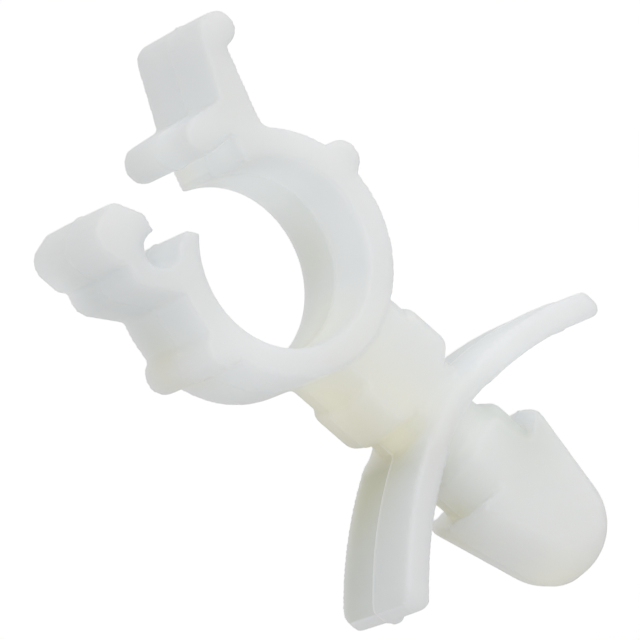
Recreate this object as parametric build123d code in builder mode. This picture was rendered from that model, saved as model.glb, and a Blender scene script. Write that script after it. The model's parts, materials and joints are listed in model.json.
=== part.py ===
from build123d import *
import math
import os

# Sizes are in millimetres and degrees. The origin is on the stem axis where the barbs meet a panel.

# Saddle ring, open at the top
bundle_diameter = 8.0
ring_wall = 1.2
saddle_width = 5.15
mouth_angle = 60.0
ring_bottom = 8.0
grip_radius = 0.8
bore_rounding = 0.15

# Snap bead on the upper arm and the trough on the lower arm that takes it
bead_radius = 0.77
bead_rise = 0.62
bead_angle = 106.2
bead_front = -80
bead_back = 113
closing_turn = 56
snap_clearance = 0.03

# Release lever on the upper arm
lever_angle = 119.3
lever_offset = 1.48
lever_length = 4.85
lever_root = 1.37
lever_tip = 0.82
lever_bead = 0.72
lever_bead_rise = 0.07
lever_corner = 0.75
lever_fillet = 0.8
lever_rise = 0.28
lever_neck = 1.4
lever_blend = 139
arm_fillet = 0.12
neck_fillet = 0.25

# Hook head on the lower arm, as corners about the trough's centre with their roundings
lip_start = 44.7
hook_root = 30
hook_corners = [
    ((1.975, 0.03), 0.9),
    ((1.455, 0.78), 0.15),
    ((1.725, 1.13), 0.3),
    ((1.725, 2.83), 0.8),
    ((-0.145, 2.83), 0.5),
    ((-0.695, 1.38), 0.4),
    ((-0.395, 0.72), 0.1),
    ((0.175, 0.33), 0),
    ((0.075, -0.57), 0),
    ((-0.575, -0.57), 0),
    ((-1.375, -0.41), 0.3),
]

# Stem, round with two flats
panel_hole = 4.8
hole_clearance = 0.1
flat_width = 4.2
neck_radius = 2.7
hub_radius = 2.95
hub_top = 6.95
hub_bottom = 5.05
groove_radius = 2.3
groove_height = 4.6
waist_radius = 1.8
waist_top = 2.9
waist_bottom = 1.9
shoulder_drop = 0.5

# Arrow-shaped head under the panel
barb_reach = 0.95
barb_undercut = 0.35
barb_rim = 0.25
head_length = 6.2
nose_radius = 2.55

# Spring wings that press on the panel
wing_width = 4.9
wing_thickness = 1.08
wing_root = (0, 3.48)
wing_middle = (4.4, 2.46)
wing_tip = (8.0, 0.62)
wing_corner = 0.6

# Sizes that follow from the ones above
bore_radius = bundle_diameter / 2
ring_radius = bore_radius + ring_wall
ring_height = ring_bottom + ring_radius
wall_middle = bore_radius + ring_wall / 2
upper_end = 90 + mouth_angle / 2
lower_end = 90 - mouth_angle / 2
bore_end = saddle_width / 2
bore_rim = bore_radius + bore_rounding
bead_orbit = ring_radius + bead_rise
trough_angle = bead_angle - closing_turn
trough_radius = bead_radius + snap_clearance
lever_foot = math.sqrt(ring_radius ** 2 - lever_offset ** 2) + lever_rise
lever_reach = lever_foot + lever_length
shank_radius = (panel_hole - hole_clearance) / 2
barb_radius = shank_radius + barb_reach
neck_top = ring_height - wall_middle + ring_wall / 4
nose_centre = nose_radius - head_length
wing_reach = wing_tip[0] + wing_thickness / 2


def polar(radius, angle):
    """Point in the profile at a radius and an angle about the ring centre."""
    turn = math.radians(angle)
    return (radius * math.cos(turn), ring_height + radius * math.sin(turn))


def on_lever(reach, depth):
    """Point in the profile along the lever, set in from its outer side by a depth."""
    lean = math.radians(lever_angle)
    side = lever_offset - depth
    x = reach * math.cos(lean) - side * math.sin(lean)
    z = reach * math.sin(lean) + side * math.cos(lean)
    return (x, ring_height + z)


def around(centre, radius, angle):
    """Point in the profile at a radius and an angle about another point."""
    turn = math.radians(angle)
    return (centre[0] + radius * math.cos(turn), centre[1] + radius * math.sin(turn))


bead_centre = polar(bead_orbit, bead_angle)
trough_centre = polar(bead_orbit, trough_angle)

# Where the cone of the head runs into its round nose
cone_rise = -barb_rim - nose_centre
cone_lean = math.atan2(cone_rise, barb_radius) - math.acos(nose_radius / math.hypot(barb_radius, cone_rise))
cone_end = (nose_radius * math.cos(cone_lean), nose_centre + nose_radius * math.sin(cone_lean))

# Upper arm: from the ring's end face round the bead to the lever and back to the ring
upper_corners = [
    (polar(wall_middle, upper_end), 0),
    (polar(ring_radius, upper_end), arm_fillet),
    (around(bead_centre, bead_radius, bead_front), 0),
    (bead_centre, 0),
    (around(bead_centre, bead_radius, bead_back), 0),
    (on_lever(lever_foot + lever_neck, lever_root), neck_fillet),
    (on_lever(lever_reach, lever_tip), lever_corner),
    (on_lever(lever_reach, 0), 0),
    (on_lever(lever_foot, 0), lever_fillet),
    (polar(ring_radius, lever_blend), 0),
    (polar(wall_middle, lever_blend), 0),
]

# Lower arm: the lip, the trough's wall and the hook head
lower_corners = [
    (polar(bore_radius - ring_wall, hook_root), 0),
    (polar(wall_middle, hook_root), 0),
    (polar(ring_radius, hook_root), 0),
]
lower_corners += [((trough_centre[0] + x, trough_centre[1] + z), rounding) for (x, z), rounding in hook_corners]
lower_corners += [(polar(bore_radius - ring_wall, lower_end), 0)]


with BuildPart() as saddle_clip:
    # Stem: hub, groove, waist, shank and head turned about the upright axis
    with BuildSketch(Plane.XZ):
        with BuildLine():
            side = FilletPolyline(
                (0, neck_top),
                (neck_radius, neck_top),
                (neck_radius, hub_top),
                (hub_radius, hub_top),
                (hub_radius, hub_bottom),
                (groove_radius, groove_height),
                (groove_radius, waist_top),
                (waist_radius, waist_top),
                (waist_radius, waist_bottom),
                (shank_radius, waist_bottom - shoulder_drop),
                (shank_radius, -barb_undercut),
                (barb_radius, 0),
                (barb_radius, -barb_rim),
                cone_end,
                radius=[0, 0.05, 0.15, 0.3, 0.1, 0, 0, 0.2, 0.2, 0.12, 0.15, 0.1],
            )
            RadiusArc(side @ 1, (0, -head_length), nose_radius)
            Line((0, -head_length), (0, neck_top))
        make_face()
    revolve(axis=Axis.Z)

    # Two flats along the whole stem
    with BuildSketch(Plane.XY.offset(-head_length)):
        Rectangle(2 * barb_radius, flat_width)
    extrude(amount=head_length + neck_top, mode=Mode.INTERSECT)

    # Spring wings along a falling arc, right across the stem
    with BuildSketch(Plane.XZ):
        with BuildLine():
            ThreePointArc(wing_root, wing_middle, wing_tip)
            mirror(about=Plane.YZ)
            offset(amount=wing_thickness / 2)
        make_face()
    extrude(amount=wing_width / 2, both=True)

    # Rounded corners at the wing tips
    with BuildSketch(Plane.XY.offset(-head_length)):
        RectangleRounded(2 * wing_reach, wing_width, wing_corner)
    extrude(amount=head_length + neck_top, mode=Mode.INTERSECT)

    # Saddle: ring, grip bars, both arms and the bore that holds the cable
    with BuildSketch(Plane.XZ):
        with Locations((0, ring_height)):
            Circle(ring_radius)
        with Locations((-ring_radius, ring_height), (ring_radius, ring_height)):
            Circle(grip_radius)
        with BuildLine():
            Polyline(
                (0, ring_height),
                polar(2 * ring_radius, upper_end),
                polar(3 * ring_radius, 90),
                polar(2 * ring_radius, lip_start),
                close=True,
            )
        make_face(mode=Mode.SUBTRACT)
        for corners in (upper_corners, lower_corners):
            with BuildLine():
                FilletPolyline([c[0] for c in corners], radius=[c[1] for c in corners], close=True)
            make_face()
        with Locations(bead_centre):
            Circle(bead_radius)
        with Locations(on_lever(lever_reach - lever_bead, -lever_bead_rise)):
            Circle(lever_bead)
        with Locations(trough_centre):
            Circle(trough_radius, mode=Mode.SUBTRACT)
    extrude(amount=saddle_width / 2, both=True)

    # Bore for the cable, with its two rims rounded
    with BuildSketch(Plane.XY.offset(ring_height)):
        with BuildLine():
            Line((bore_radius, bore_rounding - bore_end), (bore_radius, bore_end - bore_rounding))
            RadiusArc((bore_radius, bore_end - bore_rounding), (bore_rim, bore_end), bore_rounding)
            Polyline((bore_rim, bore_end), (0, bore_end), (0, -bore_end), (bore_rim, -bore_end))
            RadiusArc((bore_rim, -bore_end), (bore_radius, bore_rounding - bore_end), bore_rounding)
        make_face()
    revolve(axis=Axis((0, 0, ring_height), (0, 1, 0)), mode=Mode.SUBTRACT)

saddle_clip.part.label = "saddle_clip"

os.makedirs("parts", exist_ok=True)
export_step(saddle_clip.part, "parts/saddle_clip.step")
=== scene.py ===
import json
import math

import bmesh
import bpy
from bpy.props import FloatProperty, FloatVectorProperty, IntProperty, PointerProperty
from mathutils import Euler, Matrix, Vector
from mathutils.bvhtree import BVHTree


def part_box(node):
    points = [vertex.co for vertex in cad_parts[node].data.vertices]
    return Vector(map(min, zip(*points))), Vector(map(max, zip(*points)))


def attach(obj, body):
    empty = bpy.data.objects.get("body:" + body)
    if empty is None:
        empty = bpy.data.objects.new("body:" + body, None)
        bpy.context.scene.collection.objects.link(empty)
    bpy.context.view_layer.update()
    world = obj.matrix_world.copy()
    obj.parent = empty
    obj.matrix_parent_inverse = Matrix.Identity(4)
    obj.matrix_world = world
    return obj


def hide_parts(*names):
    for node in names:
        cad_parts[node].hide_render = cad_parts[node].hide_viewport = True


bl_info = {
    "name": "Wire saddle clip",
    "version": (1, 0, 0),
    "blender": (4, 5, 0),
    "location": "3D View > Sidebar > Saddle clip",
    "description": "Moulded nylon saddle clip with a snap-in stem, and the table it is shown over",
    "category": "Object",
}

MM = 0.001

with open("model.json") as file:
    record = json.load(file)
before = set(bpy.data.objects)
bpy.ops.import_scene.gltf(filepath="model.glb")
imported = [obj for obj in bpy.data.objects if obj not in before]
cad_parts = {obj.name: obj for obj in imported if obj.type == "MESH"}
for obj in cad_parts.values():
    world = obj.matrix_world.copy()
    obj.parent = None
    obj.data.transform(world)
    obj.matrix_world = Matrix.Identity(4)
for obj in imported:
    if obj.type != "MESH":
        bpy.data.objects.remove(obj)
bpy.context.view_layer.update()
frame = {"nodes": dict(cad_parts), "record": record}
cad_low, cad_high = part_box("saddle_clip")
bore = next(mount for mount in frame["record"]["mounts"] if mount["name"] == "cable_bore")
ring_middle = Vector(bore["pos_m"])
bore_radius = bore["dims"]["r_mm"] * MM

# Where the wings cross the stem and the skin runs together without edges, in millimetres
MELTED_PLACES = [(x, y, z) for x, z in ((0, 3.5), (0.9, 3.4), (-0.9, 3.4)) for y in (2.4, -2.4)]
MELT_REACH = 1.3
MELT_ROUNDS = 24

# How the wall's thickness is felt: the greatest depth, the lean of the outer feelers, how far under the
# skin they start as a share of that depth, and the rounds of smoothing
WALL_LONGEST = 5 * MM
WALL_LEAN = 0.5
WALL_INSET = 0.01
WALL_ROUNDS = 12

# Where the wings' tops and the bore's wall lie, how far up a top faces, and the widths over which the painted
# shade of the far half fades in across the parting plane and grows away from it
WING_START = 1.9 * MM
WING_BLEND = 1.0 * MM
WING_BOTTOM = 0.0
WING_TOP = 4.5 * MM
TOP_FACING = 0.3
BORE_REACH = bore_radius + 0.3 * MM
HALF_BLEND = 0.3 * MM
FAR_REACH = 1.8 * MM

# How strongly the painted shade of the far half shows on the wings' up-facing tops: beside the seam, on the
# near half too, and on the wing on the lever's side. Then how strongly it shows in the bore and elsewhere.
SEAM_SHARE = 0.7
NEAR_SHARE = 0.38
LEVER_SIDE_SHARE = 0.4
BORE_SHARE = 0.28
REST_SHARE = 0.08

# Soft round spots, each with its place and reach in millimetres and its strength.
# Painted warm light: a warmer tone that stands in for light passing through thick nylon, on the stem, at the
# root of the wing and the grip bar on the hook's side, on the barb and on the nose.
WARM_LIGHT_SPOTS = (
    ((3.0, -1.6, 3.6), 2.6, 1.0),
    ((2.4, -2.0, 6.0), 2.4, 0.6),
    ((3.0, -0.6, -0.2), 1.4, 0.8),
    ((1.8, 0.2, -5.4), 1.9, 0.8),
    ((2.8, 0.4, 7.2), 1.9, 0.7),
    ((2.3, 0.8, 4.4), 1.4, 0.5),
    ((1.4, 2.0, 5.2), 1.6, 0.3),
    ((-3.0, -1.5, 10.8), 2.2, 0.5),
    ((-2.3, -2.0, 17.2), 1.0, 0.6),
    ((5.6, -1.2, 13.2), 1.8, 0.8),
    ((1.2, 0.2, 8.4), 2.2, 0.5),
)

# Painted shade: darker under the hook head, below the hook, on the bore's far wall, the lever, the shank and
# the head.
SHADE_SPOTS = (
    ((5.4, -1.2, 18.0), 1.2, 0.8),
    ((5.4, 1.3, 17.8), 1.1, 0.3),
    ((4.95, 1.0, 14.8), 1.2, 0.4),
    ((4.95, -1.3, 14.9), 1.2, 0.9),
    ((-3.3, -2.2, 10.9), 2.0, 0.6),
    ((-1.7, 1.6, 1.3), 1.0, 1.0),
    ((-4.4, 2.57, 19.2), 2.4, 0.45),
    ((-1.6, 2.1, 0.1), 1.6, 0.8),
)

# Painted glow: emission that stands in for the white surroundings shining through the wing on the lever's
# side, the ring, the arms' ends, the groove and the nose.
GLOW_SPOTS = (
    ((-3.0, 2.0, 2.6), 2.2, 0.8),
    ((-6.5, 0.6, 1.2), 3.2, 0.9),
    ((0.4, 1.0, 9.0), 2.2, 0.5),
    ((-3.4, 1.0, 10.6), 2.4, 0.6),
    ((-4.2, 0.6, 14.6), 2.6, 0.5),
    ((3.8, 0.6, 11.0), 2.6, 0.4),
    ((-2.0, 1.0, 18.6), 1.4, 0.5),
    ((0.0, 0.8, 2.0), 1.8, 0.5),
    ((3.0, 0.2, 6.4), 1.2, 0.5),
    ((-1.1, 0.2, 19.2), 1.5, 0.5),
    ((-2.3, 1.4, 17.3), 1.0, 0.5),
    ((-2.3, -1.2, 17.2), 1.6, 1.0),
    ((-3.7, -1.6, 14.3), 1.8, 1.0),
    ((-0.5, -0.6, 9.3), 1.8, 0.8),
    ((3.4, 1.2, 17.0), 1.2, 0.7),
    ((2.2, 0.8, 4.4), 0.9, 0.7),
    ((1.9, 0.6, -4.9), 1.4, 0.6),
    ((1.4, 2.0, 5.2), 1.4, 0.4),
    ((5.5, -2.2, 19.0), 1.3, 0.7),
    ((4.4, 2.2, 12.8), 2.4, 0.4),
    ((2.7, 0.4, 8.0), 1.3, 0.6),
)

# Wall thickness, from 0 to 1, at which the nylon has its thin, its usual and its thick colour
THIN_WALL = 0.12
USUAL_WALL = 0.45
THICK_WALL = 0.8

# Fine patterns of the nylon, each noise with its scale and detail on object coordinates
CLOUD_NOISE = (320, 3)
CLOUD_AMOUNT = 0.16
GLOSS_NOISE = (900, 4)
GLOSS_LESS = 0.08
GLOSS_MORE = 0.1
SKIN_NOISE = (2600, 3)
SKIN_STRENGTH = 0.12
SKIN_HEIGHT = 0.02 * MM

# How far red, green and blue light scatter inside the nylon, as shares of the light depth, and its refraction
SCATTER = (1.0, 0.95, 0.85)
NYLON_IOR = 1.53

# Sockets of a mix node that mixes colours
MIX_SHARE = 0
MIX_BELOW = 6
MIX_ABOVE = 7
MIX_RESULT = 2

# Table top, with the grey levels of its faint clouds and the light that lifts it to white for the camera
TABLE_RADIUS = 3.0
TABLE_SIDES = 96
TABLE_NOISE = (30, 3)
TABLE_DARKEST = 0.80
TABLE_LIGHTEST = 0.84
TABLE_LIFT = 0.42

# Place of the lamp from the clip's middle along the camera's axes, and the size of the lamp
LAMP_RIGHT = 0.28
LAMP_UP = 0.06
LAMP_BACK = 0.18
LAMP_SIZE = 0.25

# Width of the camera's film in millimetres, and the nearest and farthest that it sees in metres
FILM_WIDTH = 36
NEAREST = 0.01
FARTHEST = 10


class ClipSizes(bpy.types.PropertyGroup):
    """Sizes of the moulded clip."""

    grain: FloatProperty(
        name="Mesh grain",
        description="Size of the small faces that the moulded skin is made of",
        default=0.115 * MM, min=0.05 * MM, unit="LENGTH", precision=6,
    )
    softening: IntProperty(
        name="Edge softening",
        description="How many times the skin is relaxed, which rounds the edges as a worn mould does",
        default=4, min=0,
    )
    swell: FloatProperty(
        name="Swell",
        description="How far the skin stands out on the parting plane, before the draft takes it back",
        default=0.06 * MM, unit="LENGTH", precision=6,
    )
    draft: FloatProperty(
        name="Draft",
        description="Slope that lets each half of the mould come off, measured from the parting plane",
        default=math.radians(0.6), subtype="ANGLE",
    )
    parting: FloatProperty(
        name="Parting plane",
        description="Place of the parting plane along the bore",
        default=0.02 * MM, unit="LENGTH", precision=6,
    )
    seam_height: FloatProperty(
        name="Seam height",
        description="How far the parting seam stands out from the skin",
        default=0.05 * MM, unit="LENGTH", precision=6,
    )
    seam_width: FloatProperty(
        name="Seam width",
        description="Half the width of the parting seam",
        default=0.075 * MM, unit="LENGTH", precision=6,
    )
    gate_radius: FloatProperty(
        name="Gate mark radius",
        description="Radius of the cut-off gate at the end of one wing",
        default=0.4 * MM, unit="LENGTH", precision=6,
    )
    gate_place: FloatVectorProperty(
        name="Gate mark place",
        description="Centre of the cut-off gate",
        default=(8.22 * MM, 0.45 * MM, 0.36 * MM), subtype="TRANSLATION",
    )


class ClipFinish(bpy.types.PropertyGroup):
    """Colours and gloss of the nylon."""

    thin_colour: FloatVectorProperty(
        name="Thin walls", description="Colour of the nylon where the wall is thin",
        default=(0.81, 0.865, 0.905), subtype="COLOR", min=0, max=1,
    )
    body_colour: FloatVectorProperty(
        name="Body", description="Colour of the nylon at a usual wall",
        default=(0.825, 0.865, 0.885), subtype="COLOR", min=0, max=1,
    )
    thick_colour: FloatVectorProperty(
        name="Thick parts", description="Colour of the nylon where it is thickest",
        default=(0.83, 0.85, 0.835), subtype="COLOR", min=0, max=1,
    )
    # Painted shade on the skin beyond the parting plane, darkest on the wings' tops
    far_shade_tint: FloatVectorProperty(
        name="Far half", description="Tint of the painted shade on the far half of the skin",
        default=(0.64, 0.65, 0.59), subtype="COLOR", min=0, max=1,
    )
    shade_colour: FloatVectorProperty(
        name="Dark spots", description="Tint where the nylon looks darker",
        default=(0.87, 0.88, 0.85), subtype="COLOR", min=0, max=1,
    )
    # Painted warm light at the warm spots
    warm_light_colour: FloatVectorProperty(
        name="Warm spots", description="Tint of the painted warm light where light passes through thick nylon",
        default=(0.985, 0.93, 0.78), subtype="COLOR", min=0, max=1,
    )
    # Painted highlight along the seam
    seam_highlight_colour: FloatVectorProperty(
        name="Seam", description="Colour of the painted highlight along the seam on the wings",
        default=(1.0, 1.0, 0.98), subtype="COLOR", min=0, max=1,
    )
    roughness: FloatProperty(
        name="Roughness", description="How dull the moulded skin is",
        default=0.34, min=0, max=1,
    )
    # Strength of the painted glow, an emission on the glow spots
    glow: FloatProperty(
        name="Glow", description="How much the white surroundings shine through the light spots",
        default=0.12, min=0, max=1,
    )
    depth: FloatProperty(
        name="Light depth", description="How far light travels inside the nylon",
        default=6.0 * MM, unit="LENGTH", precision=6,
    )


class ClipStage(bpy.types.PropertyGroup):
    """Table, light and camera."""

    table_drop: FloatProperty(
        name="Table drop", description="How far the table lies under the clip",
        default=14 * MM, unit="LENGTH",
    )
    sky: FloatProperty(
        name="Sky light", description="Strength of the light from all round", default=0.84, min=0,
    )
    dimming: FloatProperty(
        name="Side dimming", description="Share by which the light from the left of the picture is weaker",
        default=0.30, min=0, max=1,
    )
    key: FloatProperty(
        name="Key light", description="Power of the large lamp", default=0.75, min=0, subtype="POWER",
    )
    camera_place: FloatVectorProperty(
        name="Camera place", description="Where the camera stands",
        default=(109.187 * MM, 180.132 * MM, 71.996 * MM), subtype="TRANSLATION",
    )
    camera_turn: FloatVectorProperty(
        name="Camera turn", description="How the camera is turned",
        default=[math.radians(a) for a in (65.8318, 46.0439, 130.8245)], subtype="EULER",
    )
    camera_lens: FloatProperty(
        name="Lens", description="Focal length in millimetres", default=301.582, min=1,
    )


def link(obj):
    """Puts a new object into the scene."""
    bpy.context.scene.collection.objects.link(obj)
    return obj


def evaluated_mesh(obj):
    """Plain mesh of an object with its modifiers applied."""
    graph = bpy.context.evaluated_depsgraph_get()
    return bpy.data.meshes.new_from_object(obj.evaluated_get(graph), depsgraph=graph)


def ramp(value, start, length):
    """Share from 0 to 1 that rises over a length."""
    return min(max((value - start) / length, 0), 1)


def noise(tree, place, scale, detail):
    """Noise texture node on object coordinates."""
    node = tree.nodes.new("ShaderNodeTexNoise")
    node.inputs["Scale"].default_value = scale
    node.inputs["Detail"].default_value = detail
    tree.links.new(place, node.inputs["Vector"])
    return node.outputs["Fac"]


def mark(tree, name):
    """One of the marks that the skin's points carry, from 0 to 1."""
    node = tree.nodes.new("ShaderNodeAttribute")
    node.attribute_name = name
    return node.outputs["Fac"]


def wall_colour(tree, place, finish):
    """Colour by the wall's thickness, with faint clouds."""
    cloud = tree.nodes.new("ShaderNodeMath")
    cloud.operation = "MULTIPLY_ADD"
    tree.links.new(noise(tree, place, *CLOUD_NOISE), cloud.inputs[0])
    cloud.inputs[1].default_value = CLOUD_AMOUNT
    tree.links.new(mark(tree, "wall"), cloud.inputs[2])
    tint = tree.nodes.new("ShaderNodeValToRGB")
    steps = tint.color_ramp.elements
    steps[0].position = THIN_WALL
    steps[0].color = (*finish.thin_colour, 1)
    steps[1].position = THICK_WALL
    steps[1].color = (*finish.thick_colour, 1)
    steps.new(USUAL_WALL).color = (*finish.body_colour, 1)
    tree.links.new(cloud.outputs[0], tint.inputs["Fac"])
    return tint.outputs["Color"]


def nylon_material(finish):
    """Milky natural nylon: cooler where it is thin, warmer where it is thick, with a fine moulded skin."""
    material = bpy.data.materials.new("natural_nylon")
    material.use_nodes = True
    tree = material.node_tree
    shader = tree.nodes["Principled BSDF"]
    place = tree.nodes.new("ShaderNodeTexCoord").outputs["Object"]

    colour = wall_colour(tree, place, finish)
    # Over the wall's colour: painted shade on the far half and at the dark spots, painted warm light, and a
    # painted highlight along the seam
    for name, blend, tint in (
        ("far_half_shade", "MULTIPLY", finish.far_shade_tint),
        ("shade", "MULTIPLY", finish.shade_colour),
        ("warm_light", "MULTIPLY", finish.warm_light_colour),
        ("seam", "MIX", finish.seam_highlight_colour),
    ):
        mix = tree.nodes.new("ShaderNodeMix")
        mix.data_type = "RGBA"
        mix.blend_type = blend
        tree.links.new(mark(tree, name), mix.inputs[MIX_SHARE])
        tree.links.new(colour, mix.inputs[MIX_BELOW])
        mix.inputs[MIX_ABOVE].default_value = (*tint, 1)
        colour = mix.outputs[MIX_RESULT]
    tree.links.new(colour, shader.inputs["Base Color"])

    gloss = tree.nodes.new("ShaderNodeMapRange")
    gloss.inputs["To Min"].default_value = finish.roughness - GLOSS_LESS
    gloss.inputs["To Max"].default_value = finish.roughness + GLOSS_MORE
    tree.links.new(noise(tree, place, *GLOSS_NOISE), gloss.inputs["Value"])
    tree.links.new(gloss.outputs["Result"], shader.inputs["Roughness"])

    skin = tree.nodes.new("ShaderNodeBump")
    skin.inputs["Strength"].default_value = SKIN_STRENGTH
    skin.inputs["Distance"].default_value = SKIN_HEIGHT
    tree.links.new(noise(tree, place, *SKIN_NOISE), skin.inputs["Height"])
    tree.links.new(skin.outputs["Normal"], shader.inputs["Normal"])

    # Painted glow: emission where the glow mark is, in the thin walls' colour
    power = tree.nodes.new("ShaderNodeMath")
    power.operation = "MULTIPLY"
    tree.links.new(mark(tree, "glow"), power.inputs[0])
    power.inputs[1].default_value = finish.glow
    tree.links.new(power.outputs[0], shader.inputs["Emission Strength"])
    shader.inputs["Emission Color"].default_value = (*finish.thin_colour, 1)

    shader.inputs["Subsurface Weight"].default_value = 1.0
    shader.inputs["Subsurface Radius"].default_value = SCATTER
    shader.inputs["Subsurface Scale"].default_value = finish.depth
    shader.inputs["IOR"].default_value = NYLON_IOR
    return material


def mould_tree(material):
    """Geometry nodes that shape the skin by its distance from the parting plane: swell, draft and seam."""
    tree = bpy.data.node_groups.new("mould_skin", "GeometryNodeTree")
    face = tree.interface
    face.new_socket("Geometry", in_out="INPUT", socket_type="NodeSocketGeometry")
    for name in ("Parting", "Swell", "Draft slope", "Seam height", "Seam width"):
        face.new_socket(name, in_out="INPUT", socket_type="NodeSocketFloat")
    face.new_socket("Geometry", in_out="OUTPUT", socket_type="NodeSocketGeometry")

    def math_node(operation, *values):
        made = tree.nodes.new("ShaderNodeMath")
        made.operation = operation
        for socket, value in zip(made.inputs, values):
            if isinstance(value, bpy.types.NodeSocket):
                tree.links.new(value, socket)
            else:
                socket.default_value = value
        return made.outputs[0]

    def parts(field):
        made = tree.nodes.new("ShaderNodeSeparateXYZ")
        tree.links.new(tree.nodes.new(field).outputs[0], made.inputs[0])
        return made.outputs

    entry = tree.nodes.new("NodeGroupInput").outputs
    place = parts("GeometryNodeInputPosition")
    away = math_node("ABSOLUTE", math_node("SUBTRACT", place["Y"], entry["Parting"]))
    sink = math_node("MULTIPLY", away, entry["Draft slope"])
    share = math_node("SUBTRACT", 1.0, math_node("DIVIDE", away, entry["Seam width"]))
    rise = math_node("MULTIPLY", math_node("MAXIMUM", share, 0.0), entry["Seam height"])
    shift = math_node("ADD", math_node("SUBTRACT", rise, sink), entry["Swell"])
    half_swell = math_node("MULTIPLY", entry["Swell"], 0.5)
    side = parts("GeometryNodeInputNormal")
    offset = tree.nodes.new("ShaderNodeCombineXYZ")
    for axis, amount in (("X", shift), ("Y", half_swell), ("Z", shift)):
        tree.links.new(math_node("MULTIPLY", side[axis], amount), offset.inputs[axis])
    move = tree.nodes.new("GeometryNodeSetPosition")
    tree.links.new(entry["Geometry"], move.inputs["Geometry"])
    tree.links.new(offset.outputs[0], move.inputs["Offset"])
    real = tree.nodes.new("GeometryNodeRealizeInstances")
    tree.links.new(move.outputs[0], real.inputs[0])
    paint = tree.nodes.new("GeometryNodeSetMaterial")
    paint.inputs["Material"].default_value = material
    tree.links.new(real.outputs[0], paint.inputs["Geometry"])
    tree.links.new(paint.outputs[0], tree.nodes.new("NodeGroupOutput").inputs[0])
    return tree


def set_inputs(modifier, values):
    """Sets a geometry nodes modifier's inputs by their names."""
    for item in modifier.node_group.interface.items_tree:
        if item.in_out == "INPUT" and item.name in values:
            modifier[item.identifier] = values[item.name]


def solid_copy(sizes):
    """Copy of the moulded solid with the gate mark, merged, in millimetres."""
    shape = bmesh.new()
    shape.from_mesh(frame["nodes"]["saddle_clip"].data)
    bmesh.ops.remove_doubles(shape, verts=shape.verts, dist=1e-7)
    gate = bmesh.ops.create_icosphere(shape, subdivisions=3, radius=sizes.gate_radius)["verts"]
    bmesh.ops.translate(shape, verts=gate, vec=sizes.gate_place)
    bmesh.ops.scale(shape, vec=(1 / MM,) * 3, verts=shape.verts)
    mesh = bpy.data.meshes.new("solid_copy")
    shape.to_mesh(mesh)
    shape.free()
    return mesh


def melt(mesh, places, reach, rounds):
    """Relaxes the skin about some places, where the moulding runs together without edges."""
    shape = bmesh.new()
    shape.from_mesh(mesh)
    near = [v for v in shape.verts if any((v.co - Vector(place)).length < reach for place in places)]
    for _ in range(rounds):
        bmesh.ops.smooth_vert(
            shape, verts=near, factor=0.5, use_axis_x=True, use_axis_y=True, use_axis_z=True,
        )
    shape.to_mesh(mesh)
    shape.free()


def cut_loops(mesh, middle, width):
    """Adds edge loops on the parting plane and at both sides of the seam."""
    shape = bmesh.new()
    shape.from_mesh(mesh)
    for y in (middle - width, middle, middle + width):
        parts = shape.verts[:] + shape.edges[:] + shape.faces[:]
        bmesh.ops.bisect_plane(shape, geom=parts, plane_co=(0, y, 0), plane_no=(0, 1, 0), dist=1e-4)
    shape.to_mesh(mesh)
    shape.free()


def add_mark(mesh, name, values):
    """Stores a value on each point of the skin for the material."""
    mesh.attributes.new(name, "FLOAT", "POINT").data.foreach_set("value", values)


def add_wall_depth(mesh):
    """Marks how thick the solid is behind each point, from 0 to 1 at the longest depth."""
    shape = bmesh.new()
    shape.from_mesh(mesh)
    tree = BVHTree.FromBMesh(shape)
    leans = [Vector((0, 0, 0))]
    for axis in range(3):
        for lean in (WALL_LEAN, -WALL_LEAN):
            leans.append(Vector([lean if i == axis else 0 for i in range(3)]))
    depths = []
    for vert in shape.verts:
        start = vert.co - vert.normal * WALL_LONGEST * WALL_INSET
        total = 0.0
        for lean in leans:
            hit = tree.ray_cast(start, (lean - vert.normal).normalized(), WALL_LONGEST)
            total += hit[3] if hit[0] is not None else WALL_LONGEST
        depths.append(total / len(leans) / WALL_LONGEST)
    groups = [[v.index] + [e.other_vert(v).index for e in v.link_edges] for v in shape.verts]
    for _ in range(WALL_ROUNDS):
        depths = [sum(depths[i] for i in group) / len(group) for group in groups]
    shape.free()
    add_mark(mesh, "wall", depths)


def far_shade_share(vert, wing, away):
    """How strongly the painted shade of the far half shows on a point, by where it lies and its way from the
    seam.
    """
    far = ramp(away, -HALF_BLEND / 2, HALF_BLEND)
    if wing and vert.normal.z > TOP_FACING:
        strength = SEAM_SHARE + (1 - SEAM_SHARE) * ramp(away, 0, FAR_REACH)
        side = 1 if vert.co.x > 0 else LEVER_SIDE_SHARE
        return wing * side * (far * strength + (1 - far) * NEAR_SHARE)
    if math.hypot(vert.co.x, vert.co.z - ring_middle.z) < BORE_REACH:
        return far * BORE_SHARE
    return far * REST_SHARE


def add_far_shade_and_seam_marks(mesh, sizes):
    """Marks the painted shade on the faces beyond the parting plane, and the seam along the wings for its
    painted highlight.
    """
    far_half_shade = []
    seam = []
    for v in mesh.vertices:
        across = 1 - abs(v.normal.y)
        away = sizes.parting - v.co.y
        wing = ramp(abs(v.co.x), WING_START, WING_BLEND) * (WING_BOTTOM < v.co.z < WING_TOP)
        far_half_shade.append(far_shade_share(v, wing, away) * across)
        seam.append(max(1 - abs(away) / sizes.seam_width, 0) * across * wing)
    add_mark(mesh, "far_half_shade", far_half_shade)
    add_mark(mesh, "seam", seam)


def add_spots(mesh, name, spots):
    """Marks how strongly some round spots reach each point."""
    marks = []
    for v in mesh.vertices:
        total = 0.0
        for place, reach, strength in spots:
            far = (v.co / MM - Vector(place)).length / reach
            total += strength * math.exp(-far * far)
        marks.append(min(total, 1.0))
    add_mark(mesh, name, marks)


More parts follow.
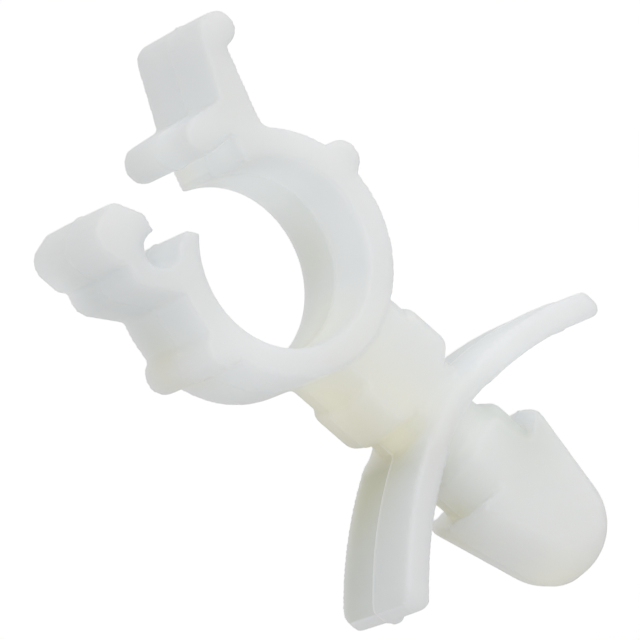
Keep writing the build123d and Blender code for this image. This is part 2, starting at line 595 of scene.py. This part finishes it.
def even_skin(sizes):
    """Skin of small even faces over the solid, with its edges rounded, in millimetres."""
    work = link(bpy.data.objects.new("clip_work", solid_copy(sizes)))
    remesh = work.modifiers.new("skin", "REMESH")
    remesh.mode = "VOXEL"
    remesh.voxel_size = sizes.grain / MM
    relax = work.modifiers.new("relax", "SMOOTH")
    relax.factor = 0.5
    relax.iterations = sizes.softening
    mesh = evaluated_mesh(work)
    bpy.data.objects.remove(work)
    melt(mesh, MELTED_PLACES, MELT_REACH, MELT_ROUNDS)
    cut_loops(mesh, sizes.parting / MM, sizes.seam_width / MM)
    return mesh


def moulded(mesh, sizes, material):
    """The skin with its swell, draft and seam, in metres and inside the solid's box."""
    work = link(bpy.data.objects.new("clip_work", mesh))
    skin = work.modifiers.new("mould", "NODES")
    skin.node_group = mould_tree(material)
    set_inputs(skin, {
        "Parting": sizes.parting / MM,
        "Swell": sizes.swell / MM,
        "Draft slope": math.tan(sizes.draft),
        "Seam height": sizes.seam_height / MM,
        "Seam width": sizes.seam_width / MM,
    })
    mesh = evaluated_mesh(work)
    bpy.data.objects.remove(work)
    mesh.transform(Matrix.Diagonal((MM, MM, MM, 1)))
    for vert in mesh.vertices:
        vert.co = [min(max(c, low), high) for c, low, high in zip(vert.co, cad_low, cad_high)]
    return mesh


class CLIP_OT_body(bpy.types.Operator):
    """Makes the moulded nylon clip"""

    bl_idname = "saddle_clip.body"
    bl_label = "Moulded clip"

    def execute(self, context):
        sizes = context.scene.clip_sizes
        mesh = moulded(even_skin(sizes), sizes, nylon_material(context.scene.clip_finish))
        if not mesh.polygons:
            raise RuntimeError("the clip has no faces")
        add_wall_depth(mesh)
        add_far_shade_and_seam_marks(mesh, sizes)
        # Painted warm light, painted shade and painted glow, as round spots
        add_spots(mesh, "warm_light", WARM_LIGHT_SPOTS)
        add_spots(mesh, "shade", SHADE_SPOTS)
        add_spots(mesh, "glow", GLOW_SPOTS)
        mesh.shade_smooth()
        mesh.name = "clip_body"
        piece = link(bpy.data.objects.new("clip_body", mesh))
        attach(piece, "root")
        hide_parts("saddle_clip")
        return {"FINISHED"}


def table_material():
    """White table top: it keeps shadows, and shows as plain white where no shadow falls."""
    material = bpy.data.materials.new("white_table")
    material.use_nodes = True
    tree = material.node_tree
    tree.nodes.clear()
    place = tree.nodes.new("ShaderNodeTexCoord").outputs["Object"]
    tone = tree.nodes.new("ShaderNodeMapRange")
    tone.inputs["To Min"].default_value = TABLE_DARKEST
    tone.inputs["To Max"].default_value = TABLE_LIGHTEST
    tree.links.new(noise(tree, place, *TABLE_NOISE), tone.inputs["Value"])
    matt = tree.nodes.new("ShaderNodeBsdfDiffuse")
    tree.links.new(tone.outputs["Result"], matt.inputs["Color"])
    lift = tree.nodes.new("ShaderNodeEmission")
    lift.inputs["Strength"].default_value = TABLE_LIFT
    both = tree.nodes.new("ShaderNodeAddShader")
    tree.links.new(matt.outputs[0], both.inputs[0])
    tree.links.new(lift.outputs[0], both.inputs[1])
    path = tree.nodes.new("ShaderNodeLightPath")
    mix = tree.nodes.new("ShaderNodeMixShader")
    tree.links.new(path.outputs["Is Camera Ray"], mix.inputs["Fac"])
    tree.links.new(matt.outputs[0], mix.inputs[1])
    tree.links.new(both.outputs[0], mix.inputs[2])
    out = tree.nodes.new("ShaderNodeOutputMaterial")
    tree.links.new(mix.outputs[0], out.inputs["Surface"])
    return material


def add_table(height):
    """Round table top."""
    shape = bmesh.new()
    bmesh.ops.create_circle(shape, cap_ends=True, segments=TABLE_SIDES, radius=TABLE_RADIUS)
    bmesh.ops.translate(shape, verts=shape.verts, vec=(0, 0, height))
    mesh = bpy.data.meshes.new("table_top")
    shape.to_mesh(mesh)
    shape.free()
    mesh.materials.append(table_material())
    return link(bpy.data.objects.new("table_top", mesh))


def add_world(strength, dim_side, dimming):
    """Soft light from all round, a little weaker from one side, and seen as plain white by the camera."""
    world = bpy.data.worlds.new("white_room")
    bpy.context.scene.world = world
    world.use_nodes = True
    tree = world.node_tree
    sky = tree.nodes["Background"]
    sky.inputs["Color"].default_value = (1, 1, 1, 1)
    side = tree.nodes.new("ShaderNodeVectorMath")
    side.operation = "DOT_PRODUCT"
    tree.links.new(tree.nodes.new("ShaderNodeTexCoord").outputs["Generated"], side.inputs[0])
    side.inputs[1].default_value = dim_side
    fall = tree.nodes.new("ShaderNodeMapRange")
    fall.inputs["From Min"].default_value = -1.0
    fall.inputs["To Min"].default_value = strength * (1 + dimming)
    fall.inputs["To Max"].default_value = strength * (1 - dimming)
    tree.links.new(side.outputs["Value"], fall.inputs["Value"])
    path = tree.nodes.new("ShaderNodeLightPath")
    level = tree.nodes.new("ShaderNodeMix")
    tree.links.new(path.outputs["Is Camera Ray"], level.inputs["Factor"])
    tree.links.new(fall.outputs["Result"], level.inputs["A"])
    level.inputs["B"].default_value = 1.0
    tree.links.new(level.outputs["Result"], sky.inputs["Strength"])


def add_lamp(name, place, target, size, power):
    """Square area lamp that faces a point."""
    lamp = bpy.data.lights.new(name, "AREA")
    lamp.size = size
    lamp.energy = power
    obj = link(bpy.data.objects.new(name, lamp))
    obj.location = place
    obj.rotation_euler = (target - place).to_track_quat("-Z", "Y").to_euler()


def add_camera(stage):
    """Camera where the photograph was taken from, without blur."""
    camera = bpy.data.cameras.new("camera")
    camera.lens = stage.camera_lens
    camera.sensor_width = FILM_WIDTH
    camera.clip_start = NEAREST
    camera.clip_end = FARTHEST
    view = link(bpy.data.objects.new("camera", camera))
    view.location = stage.camera_place
    view.rotation_euler = Euler(stage.camera_turn, "XYZ")
    return view


class CLIP_OT_stage(bpy.types.Operator):
    """Makes the table, the light and the camera"""

    bl_idname = "saddle_clip.stage"
    bl_label = "Table, light and camera"

    def execute(self, context):
        stage = context.scene.clip_stage
        add_table(cad_low.z - stage.table_drop)
        view = add_camera(stage)
        context.scene.camera = view
        right, up, back = view.rotation_euler.to_matrix().transposed()
        add_world(stage.sky, -right, stage.dimming)
        middle = (cad_low + cad_high) / 2
        place = middle + LAMP_UP * up + LAMP_RIGHT * right + LAMP_BACK * back
        add_lamp("key_lamp", place, middle, LAMP_SIZE, stage.key)
        context.scene.view_settings.view_transform = "Standard"
        return {"FINISHED"}


class CLIP_PT_panel(bpy.types.Panel):
    """Lists the steps that make the clip"""

    bl_idname = "CLIP_PT_panel"
    bl_label = "Wire saddle clip"
    bl_space_type = "VIEW_3D"
    bl_region_type = "UI"
    bl_category = "Saddle clip"

    def draw(self, context):
        scene = context.scene
        for groups, operator in (
            ((scene.clip_sizes, scene.clip_finish), CLIP_OT_body),
            ((scene.clip_stage,), CLIP_OT_stage),
        ):
            for group in groups:
                for key in group.__annotations__:
                    self.layout.prop(group, key)
            self.layout.operator(operator.bl_idname)


CLASSES = (ClipSizes, ClipFinish, ClipStage, CLIP_OT_body, CLIP_OT_stage, CLIP_PT_panel)


def register():
    """Adds the classes and the clip's settings."""
    for cls in CLASSES:
        bpy.utils.register_class(cls)
    bpy.types.Scene.clip_sizes = PointerProperty(type=ClipSizes)
    bpy.types.Scene.clip_finish = PointerProperty(type=ClipFinish)
    bpy.types.Scene.clip_stage = PointerProperty(type=ClipStage)


def unregister():
    """Takes the settings and the classes out again."""
    del bpy.types.Scene.clip_sizes, bpy.types.Scene.clip_finish, bpy.types.Scene.clip_stage
    for cls in reversed(CLASSES):
        bpy.utils.unregister_class(cls)


def main():
    """Makes the clip and its stage, and keeps both boxes."""
    register()
    bpy.ops.saddle_clip.body()
    bpy.ops.saddle_clip.stage()


if __name__ == "__main__":
    main()
